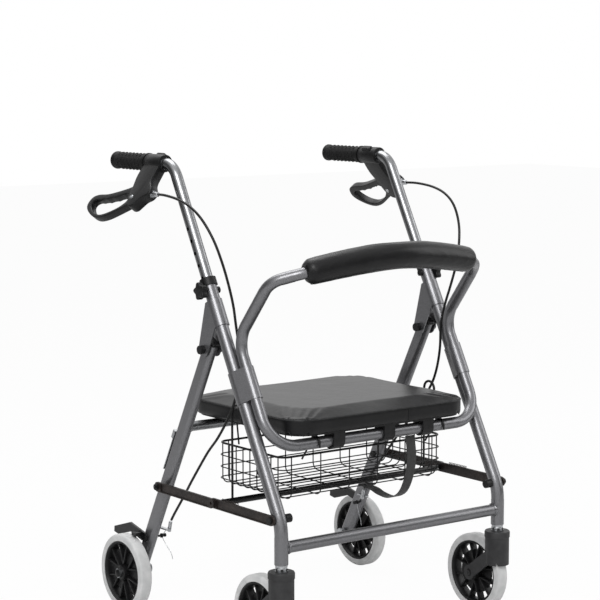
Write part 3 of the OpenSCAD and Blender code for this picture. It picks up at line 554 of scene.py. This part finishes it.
def round_ring(x_lo, x_hi, y_lo, y_hi, z, r):
    pts = []
    for cx, cy, start in ((x_hi - r, y_hi - r, 0), (x_lo + r, y_hi - r, 90), (x_lo + r, y_lo + r, 180),
                          (x_hi - r, y_lo + r, 270)):
        for k in range(7):
            a = math.radians(start + 15 * k)
            pts.append(Vector((cx + r * math.cos(a), cy + r * math.sin(a), z)))
    return pts + [pts[0]]


runs = []
for k in range(6):
    x = x0 + 0.022 + k * (x1 - x0 - 0.044) / 5
    runs.append([Vector((x, a, h)) for a, h in bent_u(y0, y1, z1, z0, turn_r)])
for k in range(9):
    y = y0 + 0.012 + k * (y1 - y0 - 0.024) / 8
    runs.append([Vector((a, y, h)) for a, h in bent_u(x0, x1, z1, z0 + 2 * wire_r, turn_r)])
for z in (0.012, 0.034, 0.057):
    runs.append(round_ring(x0 - 2 * wire_r, x1 + 2 * wire_r, y0 - 2 * wire_r, y1 + 2 * wire_r, z0 + z, 0.018))
wires = tube("basket_wires", runs, wire_r, dip, 2)
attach(wires, "front_frame")
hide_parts("basket")
rim_wire = tube("basket_rim", [round_ring(x0 - 0.001, x1 + 0.001, y0 - 0.001, y1 + 0.001, z1, 0.018)],
                0.0021, dip, 3)
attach(rim_wire, "front_frame")


# Seat cushion: foam on a board under black vinyl. The cover is a top panel sewn to a side band
# with a stitched seam, and the foam crowns the top between its edges.
def grained_vinyl(name, colour, dark, light, roughness):
    """Vinyl with a pebbled leather grain about 1.6 mm across and slow creases."""
    made, tree, shader, place = material(name, colour, roughness, Specular_IOR_Level=0.3)
    mottled(tree, shader, place, 0.05, dark, light, 0.3, 0.7)
    pebble = add(tree, "ShaderNodeTexVoronoi", {"Vector": place, "Scale": 1 / 0.0018}, feature="F1")
    crease = add(tree, "ShaderNodeTexNoise", {"Vector": place, "Scale": 1 / 0.035, "Detail": 4.0,
                                              "Distortion": 0.6})
    fine = bumped(tree, shader, pebble.outputs["Distance"], 0.0002, 0.35)
    slow = add(tree, "ShaderNodeBump", {"Height": crease.outputs["Fac"], "Distance": 0.0022, "Strength": 0.35,
                                        "Normal": fine.outputs["Normal"]})
    tree.links.new(slow.outputs["Normal"], shader.inputs["Normal"])
    return made


def as_mesh_now(thing):
    """Replaces an object's mesh by its modified one."""
    bpy.context.view_layer.update()
    new = bpy.data.meshes.new_from_object(thing.evaluated_get(bpy.context.evaluated_depsgraph_get()))
    thing.modifiers.clear()
    thing.data = new


def stuffed(thing, voxel, pressure, reach, held_below, low, high):
    """Blows the cover up like filled foam, within reach of where it was cut and inside a box."""
    even = thing.modifiers.new("even", "REMESH")
    even.mode = "VOXEL"
    even.voxel_size = voxel
    as_mesh_now(thing)
    cut = [v.co.copy() for v in thing.data.vertices]
    held = thing.vertex_groups.new(name="held")
    held.add([v.index for v in thing.data.vertices if v.co.z < held_below], 1.0, "REPLACE")
    cloth = thing.modifiers.new("cloth", "CLOTH")
    cloth.settings.use_pressure = True
    cloth.settings.uniform_pressure_force = pressure
    cloth.settings.effector_weights.gravity = 0
    cloth.settings.vertex_group_mass = "held"
    for step in range(1, 21):
        scene.frame_set(step)
    as_mesh_now(thing)
    scene.frame_set(1)
    for v, was in zip(thing.data.vertices, cut):
        moved = v.co - was
        if moved.length > reach:
            v.co = was + moved * (reach / moved.length)
        v.co = Vector(min(max(v.co[i], low[i]), high[i]) for i in range(3))
    thing.vertex_groups.clear()
    finer = thing.modifiers.new("finer", "SUBSURF")
    finer.levels = finer.render_levels = 1
    as_mesh_now(thing)
    for face in thing.data.polygons:
        face.use_smooth = True


vinyl = grained_vinyl("black_grained_vinyl", "#0e0e0f", "#0b0b0c", "#151516", 0.34)
pad_lo, pad_hi = (Vector(v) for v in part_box("seat_pad"))
size = pad_hi - pad_lo
middle = (pad_lo + pad_hi) / 2
crown = 0.007
bm = bmesh.new()
bmesh.ops.create_cube(bm, size=1.0)
bmesh.ops.scale(bm, vec=(size.x - 0.003, size.y - 0.003, size.z - crown), verts=bm.verts)
upright = [e for e in bm.edges if abs(e.verts[0].co.z - e.verts[1].co.z) > 0.01]
bmesh.ops.bevel(bm, geom=upright, offset=0.045, affect="EDGES", segments=8, profile=0.5, material=-1)
top_edges = [e for e in bm.edges if all(v.co.z > 0 for v in e.verts) and e.calc_face_angle() > 1]
bmesh.ops.bevel(bm, geom=top_edges, offset=0.008, affect="EDGES", segments=3, profile=0.5, material=-1)
base = [f for f in bm.faces if f.normal.z < -0.9]
bmesh.ops.inset_region(bm, faces=base, thickness=0.0058, use_even_offset=True)
pocket = [f for f in bm.faces if f.normal.z < -0.9 and f.calc_area() > 0.05]
bmesh.ops.translate(bm, verts=list({v for f in pocket for v in f.verts}), vec=(0, 0, 0.0118))
bmesh.ops.translate(bm, verts=bm.verts, vec=(middle.x, middle.y, middle.z - crown / 2))
cushion = keep("seat_cushion", bm, "seat", vinyl, ["seat_pad"])
stuffed(cushion, 0.004, 2.0, 0.007, pad_hi.z - crown - 0.006, pad_lo, pad_hi)


def seam_line(thing, height, inset, count):
    """Points round a cushion at this height, pressed onto its surface."""
    found = []
    ring = round_ring(pad_lo.x + inset, pad_hi.x - inset, pad_lo.y + inset, pad_hi.y - inset, height, 0.045)
    closed = curve_through(ring[:-1], 1, True)
    total = sum((b - a).length for a, b in zip(closed, closed[1:] + closed[:1]))
    step = total / count
    walked, i, at = 0.0, 0, closed[0]
    while len(found) < count and i < len(closed):
        nxt = closed[(i + 1) % len(closed)]
        gap = (nxt - at).length
        if gap < step - walked:
            walked += gap
            at = nxt
            i += 1
        else:
            at = at + (nxt - at) * ((step - walked) / gap)
            walked = 0.0
            hit = thing.closest_point_on_mesh(at)
            found.append((hit[1].copy(), hit[2].copy()))
    return found


# Seat seams: the panels are turned and sewn with black thread, which leaves a fine welt round
# the top edge with a row of stitches beside it, and one joint in the side band.
thread, tree, shader, place = material("polyester_thread", "#333335", 0.5)
mottled(tree, shader, place, 0.002, "#262628", "#48484b")
welt = seam_line(cushion, pad_hi.z - crown - 0.007, 0.0005, 260)
line = tube("seat_welt", [[p + n * 0.0003 for p, n in welt + welt[:1]]], 0.0011, vinyl, 2)
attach(line, "seat")
row = seam_line(cushion, pad_hi.z - crown - 0.0035, 0.001, 330)
bm = bmesh.new()
for (p, n), (q, _) in zip(row, row[1:] + row[:1]):
    along = q - p
    turn = along.to_track_quat("X", "Z").to_matrix().to_4x4()
    middle_at = Matrix.Translation(p + along / 2 + n * 0.0002)
    rounded_box(bm, (along.length * 0.62, 0.0009, 0.0008), middle_at @ turn, 0.0003, 1)
keep("seat_stitches", bm, "seat", thread)
joint = [cushion.closest_point_on_mesh(Vector((0.055, pad_lo.y - 0.01, pad_lo.z + 0.003 + k * 0.0021)))
         for k in range(15)]
line = tube("seat_band_joint", [[hit[1] + hit[2] * 0.0001 for hit in joint]], 0.0008, vinyl, 2)
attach(line, "seat")

# Backrest pad: a bowed roll of foam round the loop tube in a sewn vinyl sleeve, full in the
# middle and gathered over a soft rounded edge at each end.
end_x, end_y, end_z = 0.200, -0.239, 0.701
mid_y, mid_z = -0.263, 0.724
stations = []
for k in range(41):
    s = -1 + k / 20
    near_end = max(0.0, (abs(s) - 0.93) / 0.07)
    radius = (0.0262 - 0.0018 * s * s) * math.sqrt(max(0.0, 1 - 0.55 * near_end ** 2))
    stations.append((Vector((s * end_x * 0.985, mid_y + (end_y - mid_y) * abs(s) ** 1.6,
                             mid_z + (end_z - mid_z) * abs(s) ** 1.6)), radius))
bm = bmesh.new()
rings = []
for i, (at, radius) in enumerate(stations):
    ahead = stations[min(i + 1, 40)][0] - stations[max(i - 1, 0)][0]
    turn = ahead.to_track_quat("Z", "Y").to_matrix().to_4x4()
    made = bmesh.ops.create_circle(bm, cap_ends=i in (0, 40), segments=40, radius=radius,
                                   matrix=Matrix.Translation(at) @ turn)
    rings.append(made["verts"])
for a, b in zip(rings, rings[1:]):
    lines = [e for e in bm.edges if any(e.verts[0] in ring and e.verts[1] in ring for ring in (a, b))]
    bmesh.ops.bridge_loops(bm, edges=[e for e in lines if len(e.link_faces) < 2])
roll = keep("backrest_roll", bm, "front_frame", vinyl, ["backrest_pad"])
roll_lo, roll_hi = (Vector(v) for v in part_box("backrest_pad"))
stuffed(roll, 0.005, 3.0, 0.003, 0.0, roll_lo, roll_hi)
under = []
for k in range(61):
    s = -0.97 + k * 1.94 / 60
    at = Vector((s * end_x * 0.985, mid_y + (end_y - mid_y) * abs(s) ** 1.6 + 0.012,
                 mid_z + (end_z - mid_z) * abs(s) ** 1.6 - 0.05))
    hit = roll.closest_point_on_mesh(at)
    under.append(hit[1] + hit[2] * 0.0002)
line = tube("backrest_seam", [under], 0.001, vinyl, 2)
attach(line, "front_frame")

# Pull strap: a loop of black polyester webbing, 22 mm wide, hung from the seat's front bar to
# the lift bar; pulling it up folds the walker.
webbing, tree, shader, place = material("black_webbing", "#151515", 0.75, Sheen_Weight=0.3)
weave_pitch = 0.0044
weave = add(tree, "ShaderNodeTexWave", {"Vector": place, "Scale": 1 / weave_pitch, "Distortion": 0.4},
            bands_direction="X")
bumped(tree, shader, weave.outputs["Fac"], 0.0003, 0.5)
mottled(tree, shader, place, 0.006, "#111111", "#1e1e1e")
hang = millimetres([(-207.2, 370.5), (-213.2, 330), (-205.2, 290), (-187.2, 258), (-157.2, 243),
                    (-125.2, 244),
                    (-101.2, 250), (-66, 253.1)])
path = [(p.x, p.y) for p in curve_through([p + (0,) for p in hang], 6)]
bm = bmesh.new()
edge_verts = [bm.verts.new((0.066, y, z)) for y, z in path]
spine = [bm.edges.new(pair) for pair in zip(edge_verts, edge_verts[1:])]
grown = bmesh.ops.extrude_edge_only(bm, edges=spine)["geom"]
bmesh.ops.translate(bm, verts=[g for g in grown if isinstance(g, bmesh.types.BMVert)], vec=(0.022, 0, 0))
bmesh.ops.solidify(bm, geom=bm.faces[:], thickness=0.0014)
strap = keep("pull_strap_webbing", bm, "front_frame", webbing, ["pull_strap"], crease=60)

# Floor and backdrop: seamless white paper under soft studio lamps. The camera sees it nearly
# white, while it lights and shades the walker as matte paper does.
paper = bpy.data.materials.new("white_paper_sweep")
paper.use_nodes = True
tree = paper.node_tree
tree.nodes.clear()
rays = add(tree, "ShaderNodeLightPath")
matte = add(tree, "ShaderNodeBsdfDiffuse", {"Color": linear("#e4e4e4")})
glow = add(tree, "ShaderNodeEmission", {"Color": (1, 1, 1, 1), "Strength": 1.0})
share = add(tree, "ShaderNodeMath", {0: rays.outputs["Is Camera Ray"], 1: 0.96}, operation="MULTIPLY")
both = add(tree, "ShaderNodeMixShader", {0: share.outputs[0], 1: matte.outputs[0], 2: glow.outputs[0]})
add(tree, "ShaderNodeOutputMaterial", {"Surface": both.outputs[0]})
bm = bmesh.new()
bmesh.ops.create_grid(bm, x_segments=1, y_segments=1, size=12)
mesh = bpy.data.meshes.new("floor")
bm.to_mesh(mesh)
bm.free()
mesh.materials.append(paper)
floor = bpy.data.objects.new("floor", mesh)
scene.collection.objects.link(floor)

# Lights: a large soft lamp high on the left, a weaker one on the right and a strip overhead,
# with a white room behind them that has a dark flag on each side, to draw the edges of the tubes.
scene.view_settings.view_transform = "Standard"
world = bpy.data.worlds.new("white_room")
scene.world = world
world.use_nodes = True
tree = world.node_tree
tree.nodes.clear()
rays = add(tree, "ShaderNodeLightPath")
seen = add(tree, "ShaderNodeMath", {0: rays.outputs["Is Camera Ray"], 1: rays.outputs["Is Glossy Ray"]},
           operation="MAXIMUM")
strength = add(tree, "ShaderNodeMapRange", {"Value": seen.outputs[0], "To Min": 0.4, "To Max": 1.0})
toward = add(tree, "ShaderNodeVectorMath", {0: add(tree, "ShaderNodeTexCoord").outputs["Generated"],
                                            1: (0.7976, -0.6032, 0)}, operation="DOT_PRODUCT")
off_side = add(tree, "ShaderNodeMath", {0: toward.outputs["Value"]}, operation="ABSOLUTE")
flags = add(tree, "ShaderNodeMapRange", {"Value": off_side.outputs[0], "From Min": 0.55, "From Max": 0.9,
                                         "To Min": 1.0, "To Max": 0.12})
glossy = add(tree, "ShaderNodeMix", {0: rays.outputs["Is Glossy Ray"], 2: 1.0, 3: flags.outputs[0]},
             data_type="FLOAT")
level = add(tree, "ShaderNodeMath", {0: strength.outputs[0], 1: glossy.outputs[0]}, operation="MULTIPLY")
sky = add(tree, "ShaderNodeBackground", {"Color": (1, 1, 1, 1), "Strength": level.outputs[0]})
add(tree, "ShaderNodeOutputWorld", {"Surface": sky.outputs[0]})
for name, at, wide, power in (("key", (-2.6, -2.4, 3.2), 2.2, 90), ("fill", (3.2, -1.8, 2.0), 2.4, 40),
                              ("top", (0.2, 1.2, 3.4), 2.0, 45)):
    lamp_data = bpy.data.lights.new(name, "AREA")
    lamp_data.size = wide
    lamp_data.energy = power
    lamp = bpy.data.objects.new(name, lamp_data)
    lamp.location = at
    lamp.rotation_euler = (Vector(at) - Vector((0, 0, 0.45))).to_track_quat("Z", "Y").to_euler()
    scene.collection.objects.link(lamp)
